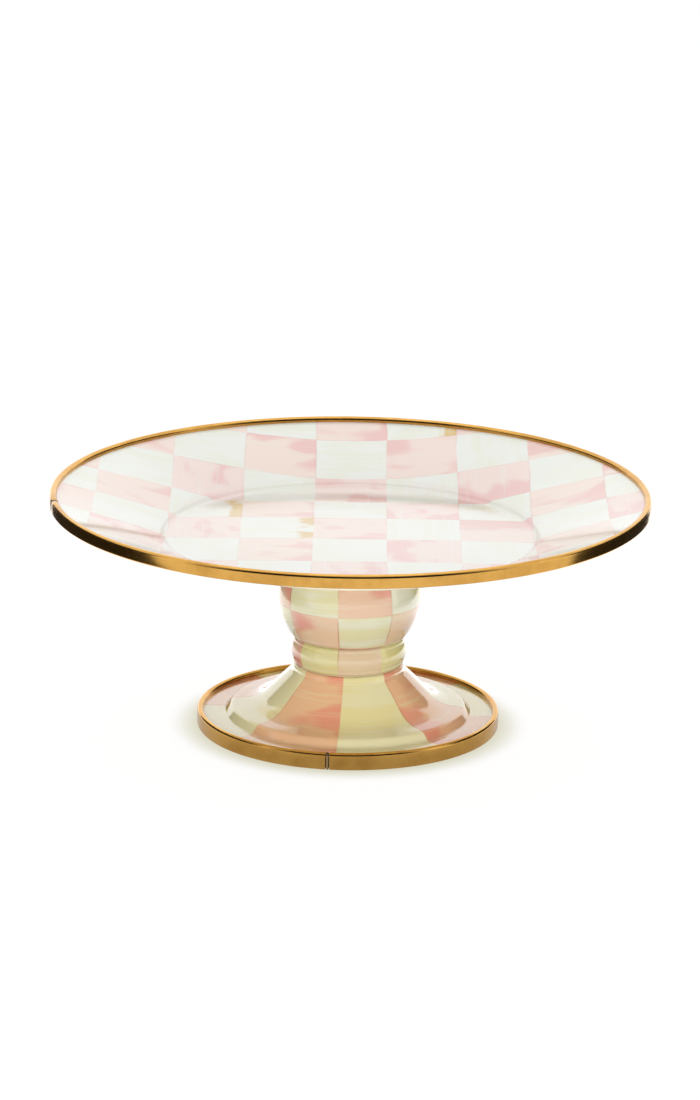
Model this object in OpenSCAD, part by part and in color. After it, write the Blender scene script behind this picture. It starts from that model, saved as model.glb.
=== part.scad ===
// Footed cake stand. An enamelled steel plate sits on a hollow pedestal of three
// spun shells, and one stud through the middle draws them together. Rolled metal
// rims cover the edges of the plate and of the foot. Sizes are in millimetres.

/* [Plate] */
// Diameter over the metal rim of the plate
plate_d = 304.8; // [280:0.1:330]
// Radius at which the flat floor of the well ends
well_r = 93; // [80:0.5:100]
// Radius of both bends of the small step round the well
step_r = 3; // [2.5:0.1:4]
// Steepest slope of the step, in degrees
step_slope = 55; // [45:1:65]
// Slope of the wide flange, in degrees
flange_slope = 19.5; // [12:0.5:21]
// Height of the metal rim of the plate
plate_rim_h = 6.8; // [6.2:0.1:7.6]
// Width of the metal rim of the plate, seen from above
plate_rim_w = 3.7; // [3.2:0.1:4.2]
// Direction of the joint in the rim of the plate, in degrees from +X
plate_joint_at = 190; // [0:1:359]

/* [Bulb] */
// Height of the bulb between its two seats
bulb_h = 49.2; // [47:0.1:51]
// Height of the widest place above the lower seat
bulb_waist_h = 21.4; // [20:0.1:23]
// Radius at the widest place
bulb_r = 36.8; // [35:0.1:39]
// Radius of the bulging wall in section
bulb_wall_r = 34.2; // [33.5:0.1:35]

/* [Collar] */
// Height of the collar between its two seats
collar_h = 14.2; // [12:0.1:16]
// Radius of the collar at its seats
collar_r = 28.4; // [27:0.1:30]
// How far the bead of the collar stands out
collar_bead = 1.2; // [0.6:0.1:2]

/* [Foot] */
// Diameter over the metal rim of the foot
foot_d = 154.6; // [146:0.1:170]
// Height of the foot at its neck
foot_h = 32.8; // [32:0.1:36]
// Radius of the neck
neck_r = 28.4; // [27:0.1:29]
// Height at which the neck opens into the flare
flare_top_z = 29.6; // [28:0.1:29.6]
// Radius at which the flare levels out
flare_foot_r = 47; // [45:0.5:48]
// Radius of the hollow bend where the flare levels out
flare_bend = 18; // [12:1:18]
// Radius of the raised shoulder ring
shoulder_r = 59.5; // [57:0.5:61]
// Height of the shoulder ring
shoulder_z = 10.6; // [10:0.1:11]
// Height of the flat flange outside the shoulder
flange_z = 6.4; // [6:0.1:6.8]
// Height of the metal rim of the foot
foot_rim_h = 8.8; // [8.4:0.1:9.6]
// Width of the metal rim of the foot, seen from above
foot_rim_w = 3.2; // [3:0.1:3.6]
// Direction of the joint in the rim of the foot, in degrees from +X
foot_joint_at = 262.6; // [0:0.1:359]

/* [Sheet and hardware] */
// Thickness of the enamelled sheet
sheet_t = 1.6; // [1.4:0.1:1.7]
// Thickness of the rolled rims
rim_t = 0.6; // [0.5:0.1:0.7]
// Width of the filler strip that shows in a rim joint
strip_w = 1.1; // [1:0.1:3]
// Gap on each side of the filler strip
strip_gap = 0.45; // [0.2:0.05:0.6]
// Length of the tongue inside a rim joint
tongue_l = 14; // [10:1:20]
// Thickness of the gasket under the plate
top_gasket_t = 1; // [0.5:0.1:2]
// Thickness of the gaskets at the ends of the collar
seam_gasket_t = 0.6; // [0.4:0.1:1]
// Diameter of the stud
stud_d = 8; // [6:1:8]

/* [Hidden] */

// Seats of the shells, from the table upwards
collar_z = foot_h + seam_gasket_t;
bulb_z = collar_z + collar_h + seam_gasket_t;
bulb_top = bulb_z + bulb_h;
plate_under = bulb_top + top_gasket_t;
well_z = plate_under + sheet_t;
waist_z = bulb_z + bulb_waist_h;
waist_c = bulb_r - bulb_wall_r;

// The sheet's turned edge stops short of the rim, which leaves room for the tongue
tongue_room = 0.7;
tongue_t = 0.5;
tongue_lift = 0.5;
// Rounding of a rim: how much wider its low bend is than the metal is thick, and
// what share of its width each upper bend takes
low_bend_over = 0.4;
top_bend_share = 0.48;
edge_bend = 1.8;
// How far the turned edge of the plate runs down past its bend
edge_drop = 1.7;
neck_bend = 1.75;
neck_taper = 0.4;
seat_bend = 1.8;
// The flare ends this far above the shoulder, and the shoulder runs out this wide
flare_over_shoulder = 1.3;
shoulder_run = 3.5;
shoulder_bend = 3;
flange_bend = 1.6;
plate_edge_r = plate_d / 2 - rim_t - tongue_room;
foot_edge_r = foot_d / 2 - rim_t - tongue_room;

// Step of the well: a hollow bend, then a round one up to the flange
rise = sin(step_slope) - sin(flange_slope);
step_in = [well_r + step_r * sin(step_slope), well_z + step_r * (1 - cos(step_slope))];
step_out = step_in + step_r * [rise, cos(flange_slope) - cos(step_slope)];

// Edge of the flange, where the sheet turns down
turn_c = plate_edge_r - edge_bend;
turn_start = turn_c - edge_bend * sin(flange_slope);
turn_z = step_out.y + (turn_start - step_out.x) * tan(flange_slope) - edge_bend * cos(flange_slope);
plate_rim_z = turn_z - edge_drop - rim_t;

// Holes, seats and fasteners along the axis
shelf_hole = 18;
seat_hole = 22;
top_hole = 16.5;
boss_r = 14;
boss_h = 3.4;
dish_r = 23;
dish_t = 2;
dish_drop = 6;
dish_flat = 10;
washer_r = 8.5;
washer_t = 1.6;
lock_r = 7;
lock_t = 2;
nut_w = 13;
nut_h = 6.5;
nut_corner = 1.2;
nut_chamfer = 0.7;
stud_past_nut = 1.8;
stud_gap = 0.4;
stud_chamfer = 0.8;
split_w = 0.8;
split_slant = 25;
split_at = 40;
gasket_inset = 1.4;
top_gasket_r = 21;
stud_r = stud_d / 2;
hole_r = stud_r + 0.5;
shelf_under = foot_h - sheet_t;
dish_top = shelf_under - top_gasket_t;
dish_under = dish_top - dish_drop - dish_t;
lock_z = dish_under - washer_t - lock_t;
nut_z = lock_z - nut_h;
stud_z = nut_z - stud_past_nut;

$fn = 128;

// Cutters start this far outside a piece, and reach this high
beyond = 1;
tall = 200;

enamel_cream = [0.93, 0.91, 0.82];
enamel_pink = [0.93, 0.76, 0.72];
bronze = [0.62, 0.43, 0.18];
steel = [0.7, 0.7, 0.72];
soft_grey = [0.25, 0.25, 0.26];

function unit(v) = v / norm(v);

// Points of a circular arc about c
function arc(c, r, from, to, steps) =
    [for (i = [0:steps]) let (a = from + (to - from) * i / steps) c + r * [cos(a), sin(a)]];

// The corner at q between p and s, rounded to radius r
function corner(p, q, s, r, steps = 6) =
    let (
        u = unit(p - q),
        v = unit(s - q),
        half = acos(u * v) / 2,
        c = q + unit(u + v) * r / sin(half),
        a = q + u * r / tan(half) - c,
        b = q + v * r / tan(half) - c,
        turn = 180 - 2 * half
    )
    [for (i = [0:steps]) c + (sin(turn * (steps - i) / steps) * a + sin(turn * i / steps) * b) / sin(turn)];

// The path moved sideways by d, to its right as it runs, with mitred corners
function moved(path, d) =
    let (last = len(path) - 1)
    [for (i = [0:last])
        let (
            before = i == 0 ? path[1] - path[0] : path[i] - path[i - 1],
            after = i == last ? before : path[i + 1] - path[i],
            n1 = unit([before.y, -before.x]),
            n2 = unit([after.y, -after.x])
        )
        path[i] + d * (n1 + n2) / (1 + n1 * n2)];

function reversed(path) = [for (i = [len(path) - 1:-1:0]) path[i]];

// A spun wall: its outer face follows the path, and it is t thick to the path's right
module spun(path, t) {
    rotate_extrude()
        polygon(concat(path, reversed(moved(path, t))));
}

module ring(inner_r, outer_r, low, high) {
    rotate_extrude()
        translate([inner_r, low])
            square([outer_r - inner_r, high - low]);
}

// Keeps a slice of its children, w wide, on the side that faces the given direction
module slice(at, w, reach) {
    intersection() {
        children();
        rotate(at)
            translate([0, -w / 2, -beyond])
                cube([reach, w, tall]);
    }
}

// Outer face of a rolled rim, from the lip under the edge to the lip on top of it
function rim_path(r, low, high, w, lip_z) =
    let (
        corner_low = [r, low],
        corner_high = [r, high],
        corner_in = [r - w, high],
        top_bend = w * top_bend_share
    )
    concat(
        [[r - w, low]],
        corner([r - w, low], corner_low, corner_high, rim_t + low_bend_over),
        corner(corner_low, corner_high, corner_in, top_bend, 8),
        corner(corner_high, corner_in, [r - w, lip_z], top_bend, 8),
        [[r - w, lip_z]]
    );

module rolled_rim(path, r, joint_at) {
    difference() {
        spun(reversed(path), rim_t);
        rotate(joint_at)
            translate([r / 2, -strip_w / 2 - strip_gap, -beyond])
                cube([r, strip_w + 2 * strip_gap, tall]);
    }
}

// The strip that shows in a rim joint, with a tongue that reaches behind both ends
module rim_joiner(path, r, low, high, joint_at) {
    slice(joint_at, strip_w, r + beyond)
        spun(reversed(path), rim_t);
    slice(joint_at, tongue_l, r + beyond)
        ring(r - rim_t - tongue_t, r - rim_t, low + rim_t + tongue_lift, high);
}

plate_path = concat(
    [[0, well_z]],
    arc([well_r, well_z + step_r], step_r, -90, step_slope - 90, 8),
    [for (p = arc(step_in + step_r * [sin(step_slope), -cos(step_slope)], step_r,
        90 + step_slope, 90 + flange_slope, 6)) if (p.x > step_in.x + 0.01) p],
    arc([turn_c, turn_z], edge_bend, 90 + flange_slope, 0, 10),
    [[plate_edge_r, plate_rim_z + rim_t]]
);

bulb_path = concat(
    [[top_hole, bulb_top]],
    arc([waist_c, waist_z], bulb_wall_r, asin((bulb_h - bulb_waist_h) / bulb_wall_r),
        -asin(bulb_waist_h / bulb_wall_r), 32),
    [[seat_hole, bulb_z]]
);

// Flat bands above and below the bead, together
bead_margin = 4.4;
bead_h = collar_h - bead_margin;
bead_r = (pow(bead_h / 2, 2) + pow(collar_bead, 2)) / (2 * collar_bead);
bead_half = asin(bead_h / 2 / bead_r);
collar_top = collar_z + collar_h;
collar_path = concat(
    [[seat_hole, collar_top]],
    corner([seat_hole, collar_top], [collar_r, collar_top], [collar_r, collar_z], seat_bend),
    arc([collar_r + collar_bead - bead_r, collar_z + collar_h / 2], bead_r, bead_half, -bead_half, 10),
    corner([collar_r, collar_top], [collar_r, collar_z], [seat_hole, collar_z], seat_bend),
    [[seat_hole, collar_z]]
);

// Corners of the foot from the shelf at the neck to its turned edge
foot_corners = [
    [shelf_hole, foot_h, 0],
    [neck_r, foot_h, neck_bend],
    [neck_r + neck_taper, flare_top_z, 2 * neck_bend],
    [flare_foot_r, shoulder_z + flare_over_shoulder, flare_bend],
    [shoulder_r, shoulder_z, shoulder_bend],
    [shoulder_r + shoulder_run, flange_z, flange_bend],
    [foot_edge_r, flange_z, edge_bend],
    [foot_edge_r, rim_t, 0],
];
foot_points = [for (c = foot_corners) [c.x, c.y]];
foot_path = [for (i = [0:len(foot_corners) - 1])
    for (p = foot_corners[i].z == 0 ? [foot_points[i]]
        : corner(foot_points[i - 1], foot_points[i], foot_points[i + 1], foot_corners[i].z,
            foot_corners[i].z > 10 ? 20 : 6)) p];

plate_rim_path = rim_path(plate_d / 2, plate_rim_z, plate_rim_z + plate_rim_h, plate_rim_w,
    turn_z + edge_bend);
foot_rim_path = rim_path(foot_d / 2, 0, foot_rim_h, foot_rim_w, flange_z);

module plate() {
    color(enamel_cream)
        spun(plate_path, sheet_t);
}

module plate_rim() {
    color(bronze)
        rolled_rim(plate_rim_path, plate_d / 2, plate_joint_at);
}

module plate_rim_joiner() {
    color(bronze)
        rim_joiner(plate_rim_path, plate_d / 2, plate_rim_z, turn_z + edge_bend, plate_joint_at);
}

module plate_boss() {
    color(steel)
        ring(stud_r, boss_r, plate_under - boss_h, plate_under);
}

module tie_stud() {
    length = plate_under - stud_gap - stud_z;
    color(steel)
        translate([0, 0, stud_z])
            rotate_extrude()
                polygon([
                    [0, 0], [stud_r - stud_chamfer, 0], [stud_r, stud_chamfer],
                    [stud_r, length - stud_chamfer], [stud_r - stud_chamfer, length], [0, length]
                ]);
}

module top_gasket() {
    color(soft_grey)
        ring(top_hole, top_gasket_r, bulb_top, plate_under);
}

module bulb() {
    color(enamel_pink)
        spun(bulb_path, sheet_t);
}

module upper_collar_gasket() {
    color(soft_grey)
        ring(seat_hole, collar_r - gasket_inset, collar_top, bulb_z);
}

module collar() {
    color(enamel_cream)
        spun(collar_path, sheet_t);
}

module lower_collar_gasket() {
    color(soft_grey)
        ring(seat_hole, neck_r - gasket_inset, foot_h, collar_z);
}

module foot() {
    color(enamel_pink)
        spun(foot_path, sheet_t);
}

module foot_rim() {
    color(bronze)
        rolled_rim(foot_rim_path, foot_d / 2, foot_joint_at);
}

module foot_rim_joiner() {
    color(bronze)
        rim_joiner(foot_rim_path, foot_d / 2, 0, flange_z, foot_joint_at);
}

module shelf_gasket() {
    color(soft_grey)
        ring(shelf_hole, dish_r, dish_top, shelf_under);
}

module clamp_dish() {
    color(steel)
        spun([
            [hole_r, dish_top - dish_drop], [dish_flat, dish_top - dish_drop],
            [shelf_hole - 2, dish_top], [dish_r, dish_top]
        ], dish_t);
}

module flat_washer() {
    color(steel)
        ring(stud_r + 0.2, washer_r, dish_under - washer_t, dish_under);
}

// Split ring with one turned-up cut
module lock_washer() {
    color(steel)
        difference() {
            ring(stud_r + 0.2, lock_r, lock_z, lock_z + lock_t);
            rotate(split_at)
                translate([0, 0, lock_z + lock_t / 2])
                    rotate([split_slant, 0, 0])
                        translate([0, -split_w / 2, -lock_t])
                            cube([lock_r + beyond, split_w, 2 * lock_t]);
        }
}

module hex_nut() {
    color(steel)
        translate([0, 0, nut_z])
            difference() {
                intersection() {
                    cylinder(h = nut_h, d = nut_w / cos(30), $fn = 6);
                    rotate_extrude()
                        polygon([
                            [0, 0], [nut_w / 2, 0], [nut_w / 2 + nut_corner, nut_chamfer],
                            [nut_w / 2 + nut_corner, nut_h - nut_chamfer], [nut_w / 2, nut_h], [0, nut_h]
                        ]);
                }
                translate([0, 0, -beyond])
                    cylinder(h = nut_h + 2 * beyond, r = stud_r);
            }
}

plate();
plate_rim();
plate_rim_joiner();
plate_boss();
tie_stud();
top_gasket();
bulb();
upper_collar_gasket();
collar();
lower_collar_gasket();
foot();
foot_rim();
foot_rim_joiner();
shelf_gasket();
clamp_dish();
flat_washer();
lock_washer();
hex_nut();
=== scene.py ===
from math import asin, atan2, cos, degrees, pi, radians, sin, tan

import bpy
from mathutils import Matrix, Vector


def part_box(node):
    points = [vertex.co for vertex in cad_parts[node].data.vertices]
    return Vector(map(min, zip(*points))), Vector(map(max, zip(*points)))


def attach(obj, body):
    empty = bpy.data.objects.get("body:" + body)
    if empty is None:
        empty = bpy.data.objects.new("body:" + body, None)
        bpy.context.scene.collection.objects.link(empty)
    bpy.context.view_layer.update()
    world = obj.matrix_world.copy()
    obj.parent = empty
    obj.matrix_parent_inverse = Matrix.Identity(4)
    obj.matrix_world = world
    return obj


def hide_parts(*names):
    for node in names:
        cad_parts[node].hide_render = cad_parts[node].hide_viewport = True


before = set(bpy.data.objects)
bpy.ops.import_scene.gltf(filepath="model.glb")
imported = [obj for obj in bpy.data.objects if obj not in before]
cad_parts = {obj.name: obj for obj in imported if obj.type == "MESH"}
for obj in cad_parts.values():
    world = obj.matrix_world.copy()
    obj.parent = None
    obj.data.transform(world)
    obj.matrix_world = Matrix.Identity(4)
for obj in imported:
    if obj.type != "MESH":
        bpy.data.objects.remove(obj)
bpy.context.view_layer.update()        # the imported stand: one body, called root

# modelling helpers: sections are drawn in millimetres, Blender works in metres

finish = {
    "merge": 0.000002,     # vertices nearer than this (m) are one
    "bendSteps": 10,       # faces round a bend
    "wideBend": 10,        # a bend of more than this (mm) gets more of them
    "wideSteps": 24,
    "rollSteps": 12,
    "shortSteps": 8,
    "smooth": 50,          # edges blunter than this (degrees) are shaded smooth
}


def mm(value):
    return value * 0.001


def deselectAll():
    if bpy.context.object and bpy.context.object.mode != "OBJECT":
        bpy.ops.object.mode_set(mode="OBJECT")
    bpy.ops.object.select_all(action="DESELECT")


def makeActive(piece):
    deselectAll()
    piece.select_set(True)
    bpy.context.view_layer.objects.active = piece


def editAll(piece):
    makeActive(piece)
    bpy.ops.object.mode_set(mode="EDIT")
    bpy.ops.mesh.select_all(action="SELECT")


def leaveEdit():
    bpy.ops.object.mode_set(mode="OBJECT")


def smoothUnder(piece, degrees):
    makeActive(piece)
    bpy.ops.object.shade_smooth_by_angle(angle=radians(degrees))


def applyModifier(piece, kind, **settings):
    makeActive(piece)
    modifier = piece.modifiers.new(kind.title(), kind)
    for key, value in settings.items():
        setattr(modifier, key, value)
    bpy.ops.object.modifier_apply(modifier=modifier.name)


def arcPoints(centre, radius, start, end, steps):
    # points of an arc in a radius-height section, angles in degrees
    turns = [radians(start + (end - start) * i / steps) for i in range(steps + 1)]
    return [(centre[0] + radius * cos(a), centre[1] + radius * sin(a)) for a in turns]


def roundCorner(before, corner, after, radius, steps=finish["bendSteps"]):
    # the corner between two straight runs of a section, rounded
    p, q, s = Vector(before), Vector(corner), Vector(after)
    u, v = (p - q).normalized(), (s - q).normalized()
    half = u.angle(v) / 2
    centre = q + (u + v).normalized() * radius / sin(half)
    a = q + u * radius / tan(half) - centre
    b = q + v * radius / tan(half) - centre
    turn = pi - 2 * half
    points = []
    for i in range(steps + 1):
        t = i / steps
        side = (sin(turn * (1 - t)) * a + sin(turn * t) * b) / sin(turn)
        points.append(tuple(centre + side))
    return points


def roundedOutline(corners):
    # corners are (radius, height, bend); a bend of 0 stays sharp
    places = [(c[0], c[1]) for c in corners]
    points = []
    for i, (r, z, bend) in enumerate(corners):
        if bend:
            steps = finish["wideSteps"] if bend > finish["wideBend"] else finish["bendSteps"]
            points += roundCorner(places[i - 1], places[i], places[i + 1], bend, steps)
        else:
            points.append((r, z))
    return points


def drawOutline(name, points, turn=0.0):
    # pulls one vertex along a radius-height section (mm) that stands at the given turn
    deselectAll()
    c, s = cos(turn), sin(turn)
    places = [Vector((mm(r) * c, mm(r) * s, mm(z))) for r, z in points]
    bpy.ops.mesh.primitive_plane_add(size=mm(1), location=places[0])
    piece = bpy.context.object
    piece.name = piece.data.name = name
    bpy.ops.object.transform_apply()
    editAll(piece)
    bpy.ops.mesh.merge(type="CENTER")
    for here, there in zip(places, places[1:]):
        bpy.ops.mesh.extrude_vertices_move(TRANSFORM_OT_translate={"value": there - here})
    return piece


def turnOutline(piece, steps, sweep=2 * pi):
    # spins the drawn section about the stand's axis and closes seam and pole
    bpy.ops.mesh.select_all(action="SELECT")
    # the axis points down so that the spin runs anticlockwise seen from above
    bpy.ops.mesh.spin(steps=steps, angle=sweep, center=(0, 0, 0), axis=(0, 0, -1))
    bpy.ops.mesh.select_all(action="SELECT")
    bpy.ops.mesh.remove_doubles(threshold=finish["merge"])
    bpy.ops.mesh.normals_make_consistent()
    leaveEdit()


def flip(piece):
    editAll(piece)
    bpy.ops.mesh.flip_normals()
    leaveEdit()


def topFacesUp(piece):
    # an open sheet has no inside, so its highest face settles which side is out
    top = max(piece.data.polygons, key=lambda face: face.center.z)
    if top.normal.z < 0:
        flip(piece)


def thicken(piece, wall, edgeRound, roundAbove=30):
    # two slots, so the inner side of the sheet can have its own material
    topFacesUp(piece)
    for side in range(2):
        piece.data.materials.append(None)
    applyModifier(piece, "SOLIDIFY", thickness=mm(wall), offset=-1, use_even_offset=True,
                  use_quality_normals=True, material_offset=1)
    softenEdges(piece, edgeRound, roundAbove)


def softenEdges(piece, width, above=30, segments=3):
    applyModifier(piece, "BEVEL", width=mm(width), segments=segments, limit_method="ANGLE",
                  angle_limit=radians(above))
    smoothUnder(piece, finish["smooth"])


def standIn(piece, node, slot, *materials):
    # gives a finished piece its materials and its place in the frame
    slots = piece.data.materials
    while len(slots) < len(materials):
        slots.append(None)
    for i in range(len(slots)):
        slots[i] = materials[min(i, len(materials) - 1)]
    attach(piece, "root")
    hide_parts(node)
    print("made", piece.name, "for", node, len(piece.data.polygons), "faces")


# helpers that build shader nodes

def srgb(red, green, blue):
    # a colour mixed on a 0 to 255 scale
    def linear(c):
        c = c / 255
        return c / 12.92 if c <= 0.04045 else ((c + 0.055) / 1.055) ** 2.4
    return (linear(red), linear(green), linear(blue), 1)


def feed(socket, value):
    if isinstance(value, bpy.types.NodeSocket):
        socket.id_data.links.new(value, socket)
    else:
        socket.default_value = value


def nodeFor(kind, values):
    # a node in the same tree as the sockets that will feed it
    tree = next(value.id_data for value in values if isinstance(value, bpy.types.NodeSocket))
    node = tree.nodes.new("ShaderNode" + kind)
    for socket, value in zip(node.inputs, values):
        feed(socket, value)
    return node


def calc(operation, *values):
    node = nodeFor("Math", values)
    node.operation = operation
    return node.outputs[0]


def plus(first, second):
    return calc("ADD", first, second)


def minus(first, second):
    return calc("SUBTRACT", first, second)


def times(first, second):
    return calc("MULTIPLY", first, second)


def between(value, low, high, start=0.0, end=1.0, smooth=True):
    # start below low, end above high, and a soft change between them
    node = nodeFor("MapRange", (value, low, high, start, end))
    node.interpolation_type = "SMOOTHSTEP" if smooth else "LINEAR"
    return node.outputs[0]


def blend(factor, first, second, mode="MIX"):
    node = nodeFor("Mix", [factor])
    node.data_type = "RGBA"
    node.blend_type = mode
    feed(node.inputs[6], first)
    feed(node.inputs[7], second)
    return node.outputs[2]


def vector(x, y, z):
    return nodeFor("CombineXYZ", (x, y, z)).outputs[0]


def split(source):
    return nodeFor("SeparateXYZ", [source]).outputs


def noise(place, scale, detail=2.0, roughness=0.5):
    node = nodeFor("TexNoise", [place])
    feed(node.inputs["Scale"], scale)
    feed(node.inputs["Detail"], detail)
    feed(node.inputs["Roughness"], roughness)
    return node.outputs["Fac"]


def objectPlace(tree):
    return tree.nodes.new("ShaderNodeTexCoord").outputs["Object"]


def axisRadius(parts):
    squares = plus(times(parts[0], parts[0]), times(parts[1], parts[1]))
    return calc("SQRT", squares)


def newGroup(name, inputs, outputs):
    kinds = {"value": "NodeSocketFloat", "color": "NodeSocketColor", "vector": "NodeSocketVector"}
    group = bpy.data.node_groups.new(name, "ShaderNodeTree")
    for side, sockets in (("INPUT", inputs), ("OUTPUT", outputs)):
        for kind, titles in sockets.items():
            for title in titles:
                group.interface.new_socket(name=title, in_out=side, socket_type=kinds[kind])
    source = group.nodes.new("NodeGroupInput")
    target = group.nodes.new("NodeGroupOutput")
    return group, source.outputs, target.inputs


def useGroup(tree, group, **values):
    # keyword names are the group's inputs with the spaces left out; others are passed over
    node = tree.nodes.new("ShaderNodeGroup")
    node.node_tree = group
    for socket in node.inputs:
        key = socket.name.replace(" ", "")
        key = key[0].lower() + key[1:]
        if key in values:
            feed(socket, values[key])
    return node.outputs


def newMaterial(name, **constants):
    material = bpy.data.materials.new(name)
    material.use_nodes = True
    shader = material.node_tree.nodes["Principled BSDF"]
    for title, value in constants.items():
        shader.inputs[title.replace("_", " ")].default_value = value
    return material, material.node_tree, shader.inputs


def bumpInto(target, height, distance):
    node = target.id_data.nodes.new("ShaderNodeBump")
    feed(node.inputs["Distance"], distance)
    feed(node.inputs["Height"], height)
    feed(target, node.outputs["Normal"])


# effects that several materials share

brush = {
    "sway": 0.0022,          # how far a stroke wanders (m)
    "swayScale": 45.0,
    "seedStep": 7.3,
    "broadMarks": (14, 0.35),     # along the stroke (per m), and across it (share of the bristle count)
    "fineMarks": (30, 1.3),
    "broadShare": 0.55,
    "patchAlong": 36,
    "patchAcross": 62,
    "spread": (0.3, 0.7),    # the noise between these two is spread over 0 to 1
}


def makeBrushwork():
    # bristle marks of one loaded brush: long and thin, never quite straight
    group, source, target = newGroup(
        "brushwork", {"vector": ["Slow"], "value": ["Fast", "Bristle", "Seed"]},
        {"value": ["Streaks", "Patches"]})
    sway = times(noise(source["Slow"], brush["swayScale"], 1.0), brush["sway"])
    fast = plus(source["Fast"], sway)
    slow = split(source["Slow"])
    shift = times(source["Seed"], brush["seedStep"])

    def stretched(along, across):
        x = plus(times(slow[0], along), shift)
        y = times(slow[1], along)
        z = times(fast, times(source["Bristle"], across))
        return vector(x, y, z)

    broad = noise(stretched(*brush["broadMarks"]), 1.0, 2.0)
    fine = noise(stretched(*brush["fineMarks"]), 1.0, 3.0, 0.6)
    share = brush["broadShare"]
    mixed = plus(times(broad, share), times(fine, 1 - share))
    feed(target["Streaks"], between(mixed, *brush["spread"]))
    along = brush["patchAlong"]
    soft = vector(plus(times(slow[0], along), shift),
                  times(slow[1], along), times(fast, brush["patchAcross"]))
    feed(target["Patches"], between(noise(soft, 1.0, 1.5), *brush["spread"]))
    return group


# pairs say where an effect starts and where it is full; "most" is how strong it gets
cellPaint = {
    "waverA": 21.0,
    "waverB": 27.0,
    "slant": 1.2,
    "deep": (0.5, 1.05),
    "deepMost": 0.8,
    "warmMost": 0.75,
    "thin": (0.6, 1.0),
    "thinMost": 0.34,
    "shade": (0.7, 1.5),
    "shadeMost": 0.75,
    "ochreSide": (0.8, 0.92),
    "ochrePatch": (0.2, 0.7),
    "ochreMost": 0.8,
    "line": (0.004, 0.022),
    "broken": (0.4, 0.65),
    "brokenScale": 38.0,
    "streakRelief": 0.35,
    "lineRelief": 0.8,
}


def makeCheckCell(brushwork):
    # one hand-painted check: which colour it gets, and how the paint lies in it
    group, source, target = newGroup(
        "checkCell",
        {"value": ["Column", "Row", "Seed", "Wobble", "Fast A", "Fast B", "Cross Strokes", "Bristle",
                   "Accent", "Outline"],
         "vector": ["Wobble Place", "Slow A", "Slow B"],
         "color": ["Cream", "Cream Shade", "Pink", "Pink Deep", "Pink Warm", "Ochre"]},
        {"color": ["Color"], "value": ["Pink Mask", "Relief"]})
    values = cellPaint

    def wavered(value, scale):
        waver = noise(source["Wobble Place"], scale, 3.0, 0.5)
        push = times(minus(waver, 0.5), source["Wobble"])
        return plus(value, push)

    def slanted(inside, chance):
        slant = values["slant"]
        lean = minus(times(chance, 2 * slant), slant)
        return times(minus(inside, 0.5), lean)

    column = wavered(source["Column"], values["waverA"])
    row = wavered(source["Row"], values["waverB"])
    columnCell, rowCell = calc("FLOOR", column), calc("FLOOR", row)
    columnIn, rowIn = calc("FRACT", column), calc("FRACT", row)
    even = calc("FLOORED_MODULO", plus(columnCell, rowCell), 2)
    pink = calc("LESS_THAN", even, 0.5)
    chance = nodeFor("TexWhiteNoise", [vector(columnCell, rowCell, source["Seed"])])
    chance.noise_dimensions = "3D"
    luck = split(chance.outputs["Color"])
    # each cell is stroked one way or the other
    crossed = calc("LESS_THAN", luck[0], source["Cross Strokes"])
    slow = nodeFor("Mix", [crossed])
    slow.data_type = "VECTOR"
    feed(slow.inputs[4], source["Slow A"])
    feed(slow.inputs[5], source["Slow B"])
    fast = nodeFor("Mix", [crossed])
    feed(fast.inputs[2], source["Fast A"])
    feed(fast.inputs[3], source["Fast B"])
    strokes = useGroup(group, brushwork, slow=slow.outputs[1], fast=fast.outputs[0],
                       bristle=source["Bristle"], seed=times(luck[1], 9))
    streaks, patches = strokes["Streaks"], strokes["Patches"]
    # the load of paint fades across the cell in its own direction
    load = plus(slanted(columnIn, luck[2]), slanted(rowIn, luck[1]))
    load = plus(load, patches)
    warm = times(luck[0], values["warmMost"])
    pinkPaint = blend(warm, source["Pink"], source["Pink Warm"])
    deep = times(between(load, *values["deep"]), values["deepMost"])
    pinkPaint = blend(deep, pinkPaint, source["Pink Deep"])
    thin = times(between(streaks, *values["thin"]), values["thinMost"])
    pinkPaint = blend(thin, pinkPaint, source["Cream"])
    shade = between(plus(patches, streaks), *values["shade"])
    shade = times(shade, values["shadeMost"])
    creamPaint = blend(shade, source["Cream"], source["Cream Shade"])
    color = blend(pink, creamPaint, pinkPaint)
    # a touch of ochre now and then beside a column's edge, on the cream side
    frayed = plus(columnIn, times(streaks, 0.1))
    ochre = times(between(frayed, *values["ochreSide"]), calc("LESS_THAN", luck[2], source["Accent"]))
    onCream = times(between(patches, *values["ochrePatch"]), minus(1, pink))
    ochre = times(times(ochre, onCream), values["ochreMost"])
    color = blend(ochre, color, source["Ochre"])
    # neighbouring strokes overlap in a thin darker line
    gap = calc("MINIMUM", calc("PINGPONG", column, 0.5), calc("PINGPONG", row, 0.5))
    line = minus(1, between(gap, *values["line"]))
    broken = noise(source["Wobble Place"], values["brokenScale"], 2.0)
    broken = between(broken, *values["broken"])
    line = times(times(line, broken), source["Outline"])
    color = blend(line, color, source["Pink Deep"], "MULTIPLY")
    feed(target["Color"], color)
    feed(target["Pink Mask"], pink)
    relief = plus(times(streaks, values["streakRelief"]), times(line, values["lineRelief"]))
    feed(target["Relief"], relief)
    return group


glazeMarks = {
    "swellScale": 38.0,
    "peelScale": 310.0,
    "peelShare": 0.09,
    "speckScale": 95.0,
    "speck": (0.015, 0.04),
    "speckRare": 0.86,
    "speckPit": 0.15,
    "wearScale": 24.0,
    "wear": 0.07,
}


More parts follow.
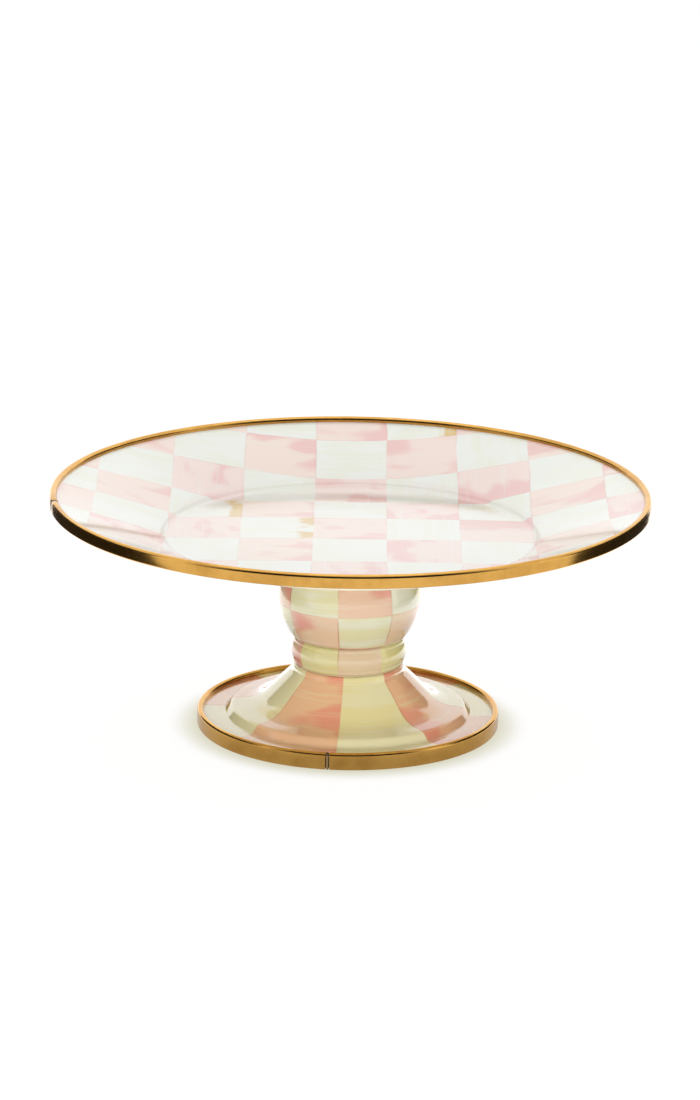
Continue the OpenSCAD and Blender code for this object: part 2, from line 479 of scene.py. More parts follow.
def makeGlassyCoat():
    # fired enamel: a slow swell, a faint orange peel and a few pinholes
    group, source, target = newGroup(
        "glassyCoat", {"vector": ["Place"], "value": ["Roughness"]},
        {"value": ["Height", "Roughness", "Specks"]})
    marks = glazeMarks
    swell = noise(source["Place"], marks["swellScale"], 2.0)
    peel = noise(source["Place"], marks["peelScale"], 2.0)
    height = plus(swell, times(peel, marks["peelShare"]))
    cells = nodeFor("TexVoronoi", [source["Place"]])
    feed(cells.inputs["Scale"], marks["speckScale"])
    speck = minus(1, between(cells.outputs["Distance"], *marks["speck"]))
    rare = calc("GREATER_THAN", split(cells.outputs["Color"])[0], marks["speckRare"])
    speck = times(speck, rare)
    pit = times(speck, marks["speckPit"])
    feed(target["Height"], minus(height, pit))
    wear = times(noise(source["Place"], marks["wearScale"], 4.0, 0.6), marks["wear"])
    feed(target["Roughness"], plus(source["Roughness"], wear))
    feed(target["Specks"], speck)
    return group


metalMarks = {
    "ringScale": 5200,
    "scratchAlong": 140,
    "scratchAcross": 2600,
    "scratch": (0.66, 0.74),
    "scratchShow": 0.25,
    "scratchCut": -0.6,
    "blotScale": 46.0,
    "blot": (0.38, 0.68),
    "rub": (0.52, 0.6),
    "rubMost": 0.6,
    "stainRough": 0.12,
    "markRough": 0.1,
}


def makeMetalGrain():
    # drawn or turned metal: fine marks along the work, stains and edge rub
    group, source, target = newGroup(
        "metalGrain",
        {"vector": ["Place"], "value": ["Around", "Stain Amount", "Roughness", "Marks"],
         "color": ["Color", "Stain", "Worn"]},
        {"color": ["Color"], "value": ["Roughness", "Height"]})
    values = metalMarks
    parts = split(source["Place"])
    radius = axisRadius(parts)
    # marks run round the axis: slow in x and y, quick in radius and height
    marksPlace = vector(times(parts[0], source["Around"]),
                        times(parts[1], source["Around"]),
                        times(plus(parts[2], radius), values["ringScale"]))
    marks = noise(marksPlace, 1.0, 3.0, 0.65)
    along = values["scratchAlong"]
    scratchPlace = vector(times(parts[0], along), times(parts[1], along),
                          times(parts[2], values["scratchAcross"]))
    scratch = between(noise(scratchPlace, 1.0, 2.0), *values["scratch"])
    blot = between(noise(source["Place"], values["blotScale"], 4.0, 0.62), *values["blot"])
    stain = times(blot, source["Stain Amount"])
    color = blend(stain, source["Color"], source["Stain"])
    edge = group.nodes.new("ShaderNodeNewGeometry").outputs["Pointiness"]
    rub = times(between(edge, *values["rub"]), values["rubMost"])
    color = blend(rub, color, source["Worn"])
    color = blend(times(scratch, values["scratchShow"]), color, source["Worn"])
    feed(target["Color"], color)
    rough = plus(source["Roughness"], times(stain, values["stainRough"]))
    uneven = times(minus(marks, 0.5), values["markRough"])
    feed(target["Roughness"], plus(rough, uneven))
    height = plus(marks, times(scratch, values["scratchCut"]))
    feed(target["Height"], times(height, source["Marks"]))
    return group


brushwork = makeBrushwork()
checkCell = makeCheckCell(brushwork)
glassyCoat = makeGlassyCoat()
metalGrain = makeMetalGrain()
print("node groups ready")

# the plate's coats: the paler, lit copy of the enamel colours, partly the paint's own tone and partly
# painted sheen of the bright surroundings
paint = {
    "cream": srgb(237, 239, 232),
    "creamShade": srgb(235, 236, 220),
    "pink": srgb(243, 222, 215),
    "pinkDeep": srgb(237, 190, 186),
    "pinkWarm": srgb(242, 225, 209),
    "ochre": srgb(222, 182, 84),
    "speck": srgb(120, 84, 60),
    "speckShow": 0.5,
    "roughness": 0.07,
    "relief": 0.00007,
    "swell": 0.00022,
}

# the pedestal's coats are shaded copies of the plate's, darker and yellower, most of all on the foot:
# painted warm shade from the plate above, partly also the paint's own yellower wash
bulbShadedPaint = dict(
    paint,
    cream=srgb(205, 204, 182),
    creamShade=srgb(202, 196, 150),
    pink=srgb(208, 174, 149),
    pinkDeep=srgb(202, 126, 112),
    pinkWarm=srgb(208, 190, 156),
    ochre=srgb(222, 174, 58),
    relief=0.00009,
)

collarShadedPaint = dict(bulbShadedPaint, cream=srgb(205, 198, 150), creamShade=srgb(202, 190, 126))

footShadedPaint = dict(
    bulbShadedPaint,
    cream=srgb(219, 212, 169),
    creamShade=srgb(217, 204, 141),
    pink=srgb(221, 164, 129),
    pinkDeep=srgb(217, 134, 108),
    pinkWarm=srgb(221, 187, 137),
)


stepDarkRingSizes = {
    "ring": (92.0, 95.0, 97.0, 101.0),     # radii where the darker ring starts, is full, thins and ends
    "scale": 30.0,
    "patchy": (0.4, 0.62, 0.15, 1.0),
    "overCream": 0.12,
    "overPink": 0.6,
}


def enamelMaterial(name, colors, column, row, slowA, fastA, slowB, fastB, crossStrokes, seed,
                   bristle=900.0, wobble=0.05, accent=0.16, outline=0.55, pool=None, coat=0.4):
    # column, row, the step's darker ring and the stroke places are functions that build their nodes in the
    # tree
    material, tree, shader = newMaterial(name, IOR=1.6, Coat_Weight=coat, Coat_Roughness=0.05)
    place = objectPlace(tree)
    parts = split(place)
    cell = useGroup(
        tree, checkCell, column=column(parts), row=row(parts), seed=seed,
        wobblePlace=place, wobble=wobble, slowA=slowA(parts), fastA=fastA(parts),
        slowB=slowB(parts), fastB=fastB(parts), crossStrokes=crossStrokes,
        bristle=bristle, accent=accent, outline=outline, **colors)
    glaze = useGroup(tree, glassyCoat, place=place, roughness=colors["roughness"])
    color = cell["Color"]
    if pool:
        # the colour darkens to deep pink here, more over the pink than over the cream
        over = between(cell["Pink Mask"], 0, 1, stepDarkRingSizes["overCream"], stepDarkRingSizes["overPink"])
        depth = times(pool(place, parts), over)
        color = blend(depth, color, colors["pinkDeep"])
    speckled = blend(times(glaze["Specks"], colors["speckShow"]), color, colors["speck"])
    feed(shader["Base Color"], speckled)
    feed(shader["Roughness"], glaze["Roughness"])
    height = plus(times(glaze["Height"], colors["swell"]), times(cell["Relief"], colors["relief"]))
    bumpInto(shader["Normal"], height, 1.0)
    return material


plateChecks = {
    "columnWidth": 37.4,
    # edges of the rows from front to back, as the painter spaced them
    "rowEdges": (-156, -121, -85, -47.9, -7.1, 31.6, 62.8, 97.5, 131.8, 167),
    "rowOfCentre": 4,
    "droop": 8.6,
    "droopAt": 131,
}


def plateColumn(parts):
    return plus(calc("DIVIDE", parts[0], mm(plateChecks["columnWidth"])), 0.5)


def plateRow(parts):
    # towards the sides the rows sag to the front
    across = calc("DIVIDE", parts[0], mm(plateChecks["droopAt"]))
    sag = times(calc("POWER", calc("ABSOLUTE", across), 4), mm(plateChecks["droop"]))
    y = plus(parts[1], sag)
    edges = plateChecks["rowEdges"]
    row = -plateChecks["rowOfCentre"]
    for near, far in zip(edges, edges[1:]):
        row = plus(row, between(y, mm(near), mm(far), smooth=False))
    return row


def stepDarkRing(place, parts):
    # a broken ring of deep pink in the hollow of the step
    radius = axisRadius(parts)
    inside, full, fading, outside = [mm(edge) for edge in stepDarkRingSizes["ring"]]
    risen = between(radius, inside, full)
    gone = between(radius, fading, outside, 1.0, 0.0)
    patchy = between(noise(place, stepDarkRingSizes["scale"], 3.0), *stepDarkRingSizes["patchy"])
    return times(times(risen, gone), patchy)


plateMaterial = enamelMaterial(
    "plateChecks", paint, plateColumn, plateRow,
    slowA=lambda p: vector(p[0], 0.0, 0.0), fastA=lambda p: p[1],
    slowB=lambda p: vector(p[1], 0.0, 0.0), fastB=lambda p: p[0],
    crossStrokes=0.4, seed=3.0, wobble=0.06, outline=0.28, pool=stepDarkRing)

pedestalChecks = {
    "columns": 8,
    # degrees that each piece's front edge lies left of the middle
    "bulbEdge": 9.0,
    "collarEdge": 10.5,
    "footEdge": 5.0,
    # heights between which one tier of checks gives way to the next
    "bulbTiers": (30.7, 48.7, 66.7, 84.7, 102.7),
    "oneTier": (-100, 100),
}


def aroundColumn(edge):
    # columns round the axis, counted from the front
    def column(parts):
        turn = calc("ARCTAN2", parts[0], times(parts[1], -1))
        count = pedestalChecks["columns"]
        place = times(plus(turn, radians(edge)), count / (2 * pi))
        return calc("FLOORED_MODULO", place, float(count))
    return column


def pedestalMaterial(name, colors, seed, edge, edges, firstPink, spread, **more):
    # edges are heights between tiers; firstPink says whether the tier below them starts pink
    def row(parts):
        level = 0.0 if firstPink else 1.0
        for low, high in zip(edges, edges[1:]):
            level = plus(level, between(parts[2], mm(low), mm(high), smooth=False))
        return level

    def around(parts):
        return vector(parts[0], parts[1], 0.0)

    def upward(parts):
        return minus(parts[2], times(axisRadius(parts), spread))

    return enamelMaterial(name, colors, aroundColumn(edge), row, slowA=around, fastA=upward,
                          slowB=around, fastB=upward, crossStrokes=0.0, seed=seed, **more)


bulbMaterial = pedestalMaterial("bulbChecks", bulbShadedPaint, 11.0, pedestalChecks["bulbEdge"],
                                pedestalChecks["bulbTiers"], True, 0.0, wobble=0.06)
collarMaterial = pedestalMaterial("collarChecks", collarShadedPaint, 5.0, pedestalChecks["collarEdge"],
                                  pedestalChecks["oneTier"], True, 0.0)
footMaterial = pedestalMaterial("footChecks", footShadedPaint, 8.0, pedestalChecks["footEdge"],
                                pedestalChecks["oneTier"], False, 0.8, coat=1.0)


backPaint = {
    "color": srgb(238, 232, 208),
    "cloud": srgb(220, 208, 176),
    "cloudScale": 30.0,
    "cloudEdge": (0.35, 0.7),
    "cloudMost": 0.5,
    "speck": srgb(90, 66, 48),
    "speckShow": 0.7,
    "roughness": 0.16,
    "swell": 0.0004,
}


def backMaterial():
    # plain enamel on the undersides, laid on thinner, so a little dull and uneven
    material, tree, shader = newMaterial("enamelBack", IOR=1.52, Specular_IOR_Level=0.5)
    place = objectPlace(tree)
    glaze = useGroup(tree, glassyCoat, place=place, roughness=backPaint["roughness"])
    cloud = between(noise(place, backPaint["cloudScale"], 4.0, 0.6), *backPaint["cloudEdge"])
    cloud = times(cloud, backPaint["cloudMost"])
    color = blend(cloud, backPaint["color"], backPaint["cloud"])
    specks = times(glaze["Specks"], backPaint["speckShow"])
    feed(shader["Base Color"], blend(specks, color, backPaint["speck"]))
    feed(shader["Roughness"], glaze["Roughness"])
    bumpInto(shader["Normal"], glaze["Height"], backPaint["swell"])
    return material


enamelBack = backMaterial()

metals = {
    "joint": srgb(190, 160, 116),
    # painted shadow deep in the rims' open joints: its colour, where it fades, and how much metal shows
    # through
    "soot": srgb(38, 26, 14),
    "sootFade": (-0.15, 0.1),      # from full painted shadow to none, beside the given radius (mm)
    "sootLeft": 0.06,              # how much metal still shows through it
    "bronze": {"color": srgb(226, 174, 90), "stain": srgb(168, 108, 36), "worn": srgb(242, 202, 130),
               "stainAmount": 0.35, "roughness": 0.17, "marks": 1.0, "around": 8.0, "depth": 0.000006},
    "zinc": {"color": srgb(196, 198, 196), "stain": srgb(150, 148, 140), "worn": srgb(222, 222, 220),
             "stainAmount": 0.5, "roughness": 0.3, "marks": 1.0, "around": 60.0, "depth": 0.00001},
    "firedSteel": {"color": srgb(120, 114, 108), "stain": srgb(78, 64, 54), "worn": srgb(168, 164, 158),
                   "stainAmount": 0.8, "roughness": 0.45, "marks": 1.4, "around": 90.0, "depth": 0.00002},
}


def metalMaterial(name, values, soot=None):
    # the last argument is the radius (mm) inside which the open joint gets painted shadow, dark deep in the
    # gap
    material, tree, shader = newMaterial(name, Metallic=1.0)
    place = objectPlace(tree)
    grain = useGroup(tree, metalGrain, place=place, **values)
    color = grain["Color"]
    if soot:
        depth = axisRadius(split(place))
        dark, bright = metals["sootFade"]
        unshadowed = between(depth, mm(soot + dark), mm(soot + bright), metals["sootLeft"], 1.0)
        color = blend(unshadowed, metals["soot"], color)
    feed(shader["Base Color"], color)
    feed(shader["Roughness"], grain["Roughness"])
    bumpInto(shader["Normal"], grain["Height"], values["depth"])
    return material


bronze = metalMaterial("bronze", metals["bronze"])
zinc = metalMaterial("zinc", metals["zinc"])
firedSteel = metalMaterial("firedSteel", metals["firedSteel"])


rubber = {
    "color": srgb(206, 188, 152),
    "bloom": srgb(222, 208, 176),
    "bloomScale": 120.0,
    "bloomEdge": (0.45, 0.75),
    "bloomMost": 0.4,
    "roughness": (0.62, 0.82),
    "grain": 0.00005,
    "grainScale": 900.0,
}


def gasketMaterial():
    material, tree, shader = newMaterial("gasketRubber", IOR=1.5)
    place = objectPlace(tree)
    grain = noise(place, rubber["grainScale"], 3.0, 0.6)
    bloom = between(noise(place, rubber["bloomScale"], 4.0), *rubber["bloomEdge"])
    bloom = times(bloom, rubber["bloomMost"])
    feed(shader["Base Color"], blend(bloom, rubber["color"], rubber["bloom"]))
    feed(shader["Roughness"], between(grain, 0.3, 0.7, *rubber["roughness"]))
    bumpInto(shader["Normal"], grain, rubber["grain"])
    return material


gasketRubber = gasketMaterial()
print("materials ready")

segments = 224     # sides of every large turned piece

sheet = {
    "wall": 1.6,
    "edgeRound": 0.45,
}

plateSizes = {
    "wellRadius": 93.0,
    "stepBend": 3.0,
    "stepSlope": 55.0,
    "flangeSlope": 19.5,
    "edgeBend": 1.8,
    "wellRings": 12,
    "flangeRings": 10,
}


def toMm(node):
    low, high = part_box(node)
    return [v * 1000 for v in low], [v * 1000 for v in high]


def makeShell(name, node, outline, material, edgeRound=sheet["edgeRound"], roundAbove=30):
    # a spun sheet, painted outside and plain inside
    shell = drawOutline(name, outline)
    turnOutline(shell, segments)
    thicken(shell, sheet["wall"], edgeRound, roundAbove)
    standIn(shell, node, "enamel", material, enamelBack)


def plateOutline():
    low, high = toMm("plate")
    size = plateSizes
    wellZ = low[2] + sheet["wall"]
    slope, flange = radians(size["stepSlope"]), radians(size["flangeSlope"])
    bend = size["stepBend"]
    stepIn = (size["wellRadius"] + bend * sin(slope), wellZ + bend * (1 - cos(slope)))
    stepOut = (stepIn[0] + bend * (sin(slope) - sin(flange)),
               stepIn[1] + bend * (cos(flange) - cos(slope)))
    hollow = arcPoints((size["wellRadius"], wellZ + bend), bend, -90, size["stepSlope"] - 90,
                       finish["rollSteps"])
    crestCentre = (stepIn[0] + bend * sin(slope), stepIn[1] - bend * cos(slope))
    crest = arcPoints(crestCentre, bend, 90 + size["stepSlope"], 90 + size["flangeSlope"],
                      finish["shortSteps"])
    turn = size["edgeBend"]
    edgeR = high[0]
    turnCentre = [edgeR - turn, 0]
    turnStart = turnCentre[0] - turn * sin(flange)
    turnCentre[1] = stepOut[1] + (turnStart - stepOut[0]) * tan(flange) - turn * cos(flange)
    edge = arcPoints(turnCentre, turn, 90 + size["flangeSlope"], 0, finish["rollSteps"])
    rings = size["wellRings"]
    floor = [(size["wellRadius"] * i / rings, wellZ) for i in range(rings)]
    rings = size["flangeRings"]
    across, rise = edge[0][0] - stepOut[0], edge[0][1] - stepOut[1]
    run = [(stepOut[0] + across * i / rings, stepOut[1] + rise * i / rings) for i in range(1, rings)]
    rimLow = toMm("plate_rim")[0][2]
    return floor + hollow + crest[1:] + run + edge + [(edgeR, rimLow + rolled["wall"])]


rolled = {
    "wall": 0.6,
    "plateWidth": 3.7,
    "footWidth": 3.2,
    "plateJoint": 190.0,
    "footJoint": 262.6,
    "strip": 1.1,
    "gap": 0.45,
    "topBend": 0.48,         # share of the rim's width
    "lowBend": 1.0,
    "edgeRound": 0.1,
    "roundAbove": 40,
    "tongue": 14.0,
    "tongueWall": 0.5,
    "tongueRise": 0.5,
    "tongueDrop": 0.3,
    "tongueRound": 0.08,
    # how far in from the rim's face the joint's painted shadow begins (mm)
    "sootDepth": 0.4,
    "stripSteps": 3,
    "tongueSteps": 16,
}


bulbSizes = {
    "radius": 36.8,
    "wallRadius": 34.2,
    "waist": 21.4,
    "topHole": 16.5,
    "topFlat": 19.0,
    "seatFlat": 25.5,
    "seatHole": 22.0,
    "edgeRound": 0.6,
    "roundAbove": 25,
    "wallSteps": 48,
}


def makeBulb():
    low, high = toMm("bulb")
    size = bulbSizes
    centre = (size["radius"] - size["wallRadius"], low[2] + size["waist"])
    topTurn = degrees(asin((high[2] - centre[1]) / size["wallRadius"]))
    lowTurn = -degrees(asin(size["waist"] / size["wallRadius"]))
    wall = arcPoints(centre, size["wallRadius"], topTurn, lowTurn, size["wallSteps"])
    outline = [(size["topHole"], high[2]), (size["topFlat"], high[2])]
    outline += wall + [(size["seatFlat"], low[2]), (size["seatHole"], low[2])]
    makeShell("bulb", "bulb", outline, bulbMaterial, size["edgeRound"], size["roundAbove"])


collarSizes = {
    "radius": 28.4,
    "bead": 1.2,
    "beadMargin": 4.4,
    "beadSteps": 16,
    "bend": 1.8,
    "seatHole": 22.0,
}


def makeCollar():
    low, high = toMm("collar")
    size = collarSizes
    radius, hole = size["radius"], size["seatHole"]
    beadHeight = high[2] - low[2] - size["beadMargin"]
    beadR = ((beadHeight / 2) ** 2 + size["bead"] ** 2) / (2 * size["bead"])
    half = degrees(asin(beadHeight / 2 / beadR))
    middle = (low[2] + high[2]) / 2
    outline = [(hole, high[2])]
    outline += roundCorner((hole, high[2]), (radius, high[2]), (radius, low[2]), size["bend"])
    outline += arcPoints((radius + size["bead"] - beadR, middle), beadR, half, -half, size["beadSteps"])
    outline += roundCorner((radius, high[2]), (radius, low[2]), (hole, low[2]), size["bend"])
    outline += [(hole, low[2])]
    makeShell("collar", "collar", outline, collarMaterial)


footSizes = {
    "shelfHole": 18.0,
    "neck": 28.4,
    "neckBend": 1.75,
    "neckTaper": 0.4,
    "flareTop": 29.6,
    "flareFoot": (47.0, 11.9),
    "flareBend": 18.0,
    "shoulder": (59.5, 10.6),
    "shoulderBend": 3.0,
    "shoulderRun": 3.5,
    "flangeZ": 6.4,
    "flangeBend": 1.6,
}


def makeFoot():
    low, high = toMm("foot")
    size = footSizes
    edge = high[0]
    outline = roundedOutline([
        (size["shelfHole"], high[2], 0),
        (size["neck"], high[2], size["neckBend"]),
        (size["neck"] + size["neckTaper"], size["flareTop"], 2 * size["neckBend"]),
        (*size["flareFoot"], size["flareBend"]),
        (*size["shoulder"], size["shoulderBend"]),
        (size["shoulder"][0] + size["shoulderRun"], size["flangeZ"], size["flangeBend"]),
        (edge, size["flangeZ"], plateSizes["edgeBend"]),
        (edge, low[2], 0),
    ])
    makeShell("foot", "foot", outline, footMaterial)


def rimOutline(radius, low, high, width, lipZ):
    # from the lip on the enamel over the top and down to the lip beneath
    bend, steps = width * rolled["topBend"], finish["rollSteps"]
    inner = radius - width
    return ([(inner, lipZ)]
            + roundCorner((inner, lipZ), (inner, high), (radius, high), bend, steps)
            + roundCorner((inner, high), (radius, high), (radius, low), bend, steps)
            + roundCorner((radius, high), (radius, low), (inner, low), rolled["lowBend"],
                          finish["shortSteps"])
            + [(inner, low)])


def makeRim(name, node, joinerName, joinerNode, width, joint, lipZ):
    low, high = toMm(node)
    radius = max(high[0], high[1], -low[0], -low[1])
    outline = rimOutline(radius, low[2], high[2], width, lipZ)
    openHalf = (rolled["strip"] / 2 + rolled["gap"]) / radius
    band = drawOutline(name, outline, radians(joint) + openHalf)
    turnOutline(band, segments, 2 * pi - 2 * openHalf)
    thicken(band, rolled["wall"], rolled["edgeRound"], rolled["roundAbove"])
    standIn(band, node, "bronze_rim", bronze)
    # the strip that shows in the joint
    stripHalf = rolled["strip"] / 2 / radius
    strip = drawOutline(joinerName, outline, radians(joint) - stripHalf)
    turnOutline(strip, rolled["stripSteps"], 2 * stripHalf)
    thicken(strip, rolled["wall"], rolled["tongueRound"], rolled["roundAbove"])
    # its tongue, tucked behind both ends of the band
    tongueHalf = rolled["tongue"] / 2 / radius
    tongueR = radius - rolled["wall"]
    tongueTop = lipZ - rolled["tongueDrop"]
    tongueLow = low[2] + rolled["wall"] + rolled["tongueRise"]
    tongue = drawOutline("tongue", [(tongueR, tongueTop), (tongueR, tongueLow)],
                         radians(joint) - tongueHalf)
    turnOutline(tongue, rolled["tongueSteps"], 2 * tongueHalf)
    face = tongue.data.polygons[0]
    if face.normal.dot(face.center) < 0:
        flip(tongue)
    applyModifier(tongue, "SOLIDIFY", thickness=mm(rolled["tongueWall"]), offset=-1, use_even_offset=True)
    softenEdges(tongue, rolled["tongueRound"], rolled["roundAbove"])
    makeActive(strip)
    tongue.select_set(True)
    bpy.ops.object.join()
    # the joiner strip gets painted shadow on its tucked-in parts, deep in the joint
    shadedJoiner = metalMaterial(joinerName, dict(metals["bronze"], color=metals["joint"]),
                          radius - rolled["sootDepth"])
    standIn(strip, joinerNode, "bronze_rim", shadedJoiner)


makeShell("enamelPlate", "plate", plateOutline(), plateMaterial)
makeBulb()
makeCollar()
makeFoot()
plateTop = toMm("plate")[1][2]
makeRim("plateRim", "plate_rim", "plateRimStrip", "plate_rim_joiner", rolled["plateWidth"],
        rolled["plateJoint"], plateTop)
makeRim("footRim", "foot_rim", "footRimStrip", "foot_rim_joiner", rolled["footWidth"],
        rolled["footJoint"], footSizes["flangeZ"])


def closedRing(name, points, steps=96):
    # a ring whose section is the closed outline through the points
    piece = drawOutline(name, points + [points[0]])
    turnOutline(piece, steps)
    return piece


gaskets = {
    "holes": {"top_gasket": 16.5, "upper_collar_gasket": 22.0, "lower_collar_gasket": 22.0,
              "shelf_gasket": 18.0},
    "bulge": 0.4,
    "sides": 128,
    "steps": 8,
    "smooth": 60,
}


def makeGasket(node):
    # squeezed rubber: both rims belly out a little
    low, high = toMm(node)
    outer, inner, bulge = high[0], gaskets["holes"][node], gaskets["bulge"]
    half = (high[2] - low[2]) / 2
    middle = (high[2] + low[2]) / 2
    turns = [radians(-90 + 180 * i / gaskets["steps"]) for i in range(gaskets["steps"] + 1)]
    outside = [(outer - bulge + bulge * cos(a), middle + half * sin(a)) for a in turns]
    inside = [(inner + bulge - bulge * cos(a), middle - half * sin(a)) for a in turns]
    piece = closedRing(node.title().replace("_", ""), outside + inside, gaskets["sides"])
    smoothUnder(piece, gaskets["smooth"])
    standIn(piece, node, "gasket", gasketRubber)


for node in gaskets["holes"]:
    makeGasket(node)


def cutFlat(piece, height, keepBelow):
    editAll(piece)
    bpy.ops.mesh.bisect(plane_co=(0, 0, mm(height)), plane_no=(0, 0, 1), use_fill=True,
                        clear_outer=keepBelow, clear_inner=not keepBelow)
    leaveEdit()


def turnedBlank(points, steps=96):
    blank = drawOutline("blank", points)
    turnOutline(blank, steps)
    return blank


def combine(piece, blank, operation):
    applyModifier(piece, "BOOLEAN", operation=operation, object=blank, solver="EXACT")
    bpy.data.objects.remove(blank)


stud = {
    "pitch": 1.25,
    "depth": 0.62,
    "crest": (0.42, 0.58),   # where the crest starts and ends, as shares of the pitch
    "play": 0.02,            # how far the thread stays inside the rod's own size
    "chamfer": 0.8,
    "spare": 1.5,            # turns of thread below the rod, cut off afterwards
    "spareTurns": 4,
    "sides": 32,
    "cutPast": 0.1,
    "smooth": 30,
}


def makeStud():
    low, high = toMm("tie_stud")
    size = stud
    radius, pitch, chamfer = high[0], size["pitch"], size["chamfer"]
    crest, root = radius - size["play"], radius - size["depth"]
    start = low[2] - size["spare"] * pitch
    rise, fall = [start + share * pitch for share in size["crest"]]
    rod = drawOutline("threadedStud", [(root, start), (crest, rise), (crest, fall), (root, start + pitch)])
    turns = int((high[2] - low[2]) / pitch) + size["spareTurns"]
    applyModifier(rod, "SCREW", axis="Z", angle=2 * pi, screw_offset=mm(pitch), iterations=turns,
                  steps=size["sides"], render_steps=size["sides"])
    editAll(rod)
    bpy.ops.mesh.remove_doubles(threshold=finish["merge"])
    leaveEdit()
    cutFlat(rod, low[2] - size["cutPast"], False)
    cutFlat(rod, high[2] + size["cutPast"], True)
    editAll(rod)
    bpy.ops.mesh.normals_make_consistent()
    leaveEdit()
    blank = turnedBlank([(0, low[2]), (radius - chamfer, low[2]), (radius, low[2] + chamfer),
                         (radius, high[2] - chamfer), (radius - chamfer, high[2]), (0, high[2])])
    combine(rod, blank, "INTERSECT")
    smoothUnder(rod, size["smooth"])
    standIn(rod, "tie_stud", "zinc_steel", zinc)


nutSizes = {
    "width": 13.0,
    "corner": (1.2, 0.7),        # how far the corners reach past the faces, and the height they lose
    "bore": 4.02,
    "sink": (1.1, 0.6, 0.5),     # widening of the bore, its depth in the nut, and how far past it
    "edgeRound": 0.12,
}


def makeNut():
    low, high = toMm("hex_nut")
    half, bore = nutSizes["width"] / 2, nutSizes["bore"]
    reach, drop = nutSizes["corner"]
    wide, deep, past = nutSizes["sink"]
    deselectAll()
    bpy.ops.mesh.primitive_cylinder_add(
        vertices=6, radius=mm(half / cos(radians(30))), depth=mm(high[2] - low[2]),
        location=(0, 0, mm((low[2] + high[2]) / 2)), rotation=(0, 0, radians(30)))
    nut = bpy.context.object
    nut.name = nut.data.name = "hexNut"
    bpy.ops.object.transform_apply()
    rough = turnedBlank([(0, low[2]), (half, low[2]), (half + reach, low[2] + drop),
                         (half + reach, high[2] - drop), (half, high[2]), (0, high[2])])
    combine(nut, rough, "INTERSECT")
    drill = turnedBlank([(0, low[2] - past), (bore + wide, low[2] - past), (bore, low[2] + deep),
                         (bore, high[2] - deep), (bore + wide, high[2] + past), (0, high[2] + past)])
    combine(nut, drill, "DIFFERENCE")
    softenEdges(nut, nutSizes["edgeRound"], 30, 2)
    standIn(nut, "hex_nut", "zinc_steel", zinc)


washers = {
    "hole": 4.2,
    "flatRound": 0.25,
    "splitRound": 0.15,
    "splitAt": 40,
    "splitHalf": 7,        # degrees from the middle of the split to each end
    "slant": 0.7,          # share of the split that the upper edge leans over
}


def makeWashers():
    low, high = toMm("flat_washer")
    hole = washers["hole"]
    flat = closedRing("flatWasher", [(hole, low[2]), (high[0], low[2]), (high[0], high[2]), (hole, high[2])])
    softenEdges(flat, washers["flatRound"])
    standIn(flat, "flat_washer", "zinc_steel", zinc)
    # the split washer: almost a whole turn, with its two ends cut on the slant
    low, high = toMm("lock_washer")
    cut = radians(washers["splitHalf"])
    outline = [(hole, low[2]), (high[0], low[2]), (high[0], high[2]), (hole, high[2]), (hole, low[2])]
    spring = drawOutline("splitWasher", outline, radians(washers["splitAt"]) + cut)
    turnOutline(spring, 90, 2 * pi - 2 * cut)
    editAll(spring)
    bpy.ops.mesh.fill_holes(sides=0)
    bpy.ops.mesh.normals_make_consistent()
    bpy.ops.mesh.select_all(action="DESELECT")
    leaveEdit()
    middle = mm((low[2] + high[2]) / 2)
    for vertex in spring.data.vertices:
        vertex.select = vertex.co.z > middle
    bpy.ops.object.mode_set(mode="EDIT")
    bpy.ops.mesh.select_mode(type="VERT")
    lean = -2 * cut * washers["slant"]
    bpy.ops.transform.rotate(value=lean, orient_axis="Z", center_override=(0, 0, middle))
    leaveEdit()
    softenEdges(spring, washers["splitRound"], 30, 2)
    standIn(spring, "lock_washer", "zinc_steel", zinc)


dishSizes = {
    "wall": 2.0,
    "hole": 4.5,
    "flat": 10,
    "lip": 16,
    "bend": 2.4,
    "edgeRound": 0.3,
    "sides": 128,
}


def makeDish():
    low, high = toMm("clamp_dish")
    size = dishSizes
    flatZ = low[2] + size["wall"]
    outline = roundedOutline([(size["hole"], flatZ, 0), (size["flat"], flatZ, size["bend"]),
                              (size["lip"], high[2], size["bend"]), (high[0], high[2], 0)])
    dish = drawOutline("clampDish", outline)
    turnOutline(dish, size["sides"])
    thicken(dish, size["wall"], size["edgeRound"])
    standIn(dish, "clamp_dish", "zinc_steel", zinc)


bossSizes = {
    "hole": 4.0,
    "chamfer": 0.4,
    "weldWidth": 1.4,
    "weldHeight": 1.5,
    "ripples": 96,
    "ripple": 0.972,       # how far every second step of the weld draws in
}


def makeBoss():
    # a turned disc with a rippled weld round its top
    low, high = toMm("plate_boss")
    size = bossSizes
    hole, edge, nick = size["hole"], high[0], size["chamfer"]
    body, weldZ = edge - size["weldWidth"], high[2] - size["weldHeight"]
    boss = closedRing("weldedBoss", [
        (hole, low[2] + nick), (hole + nick, low[2]), (body - nick, low[2]), (body, low[2] + nick),
        (body, weldZ), (body + 0.7, weldZ + 0.2), (edge - 0.15, weldZ + 0.8), (edge, high[2]),
        (hole, high[2])], size["ripples"])
    weldFrom = mm(edge - size["weldWidth"] * 0.6)
    for vertex in boss.data.vertices:
        turn = round(degrees(atan2(vertex.co.y, vertex.co.x)) * size["ripples"] / 360)
        vertex.select = vertex.co.xy.length > weldFrom and turn % 2 == 0
    makeActive(boss)
    bpy.ops.object.mode_set(mode="EDIT")
    bpy.ops.mesh.select_mode(type="VERT")
    bpy.ops.transform.resize(value=(size["ripple"], size["ripple"], 1), center_override=(0, 0, 0))
    leaveEdit()
    smoothUnder(boss, finish["smooth"])
    standIn(boss, "plate_boss", "bare_steel", firedSteel)


makeStud()
makeNut()
makeWashers()
makeDish()
makeBoss()

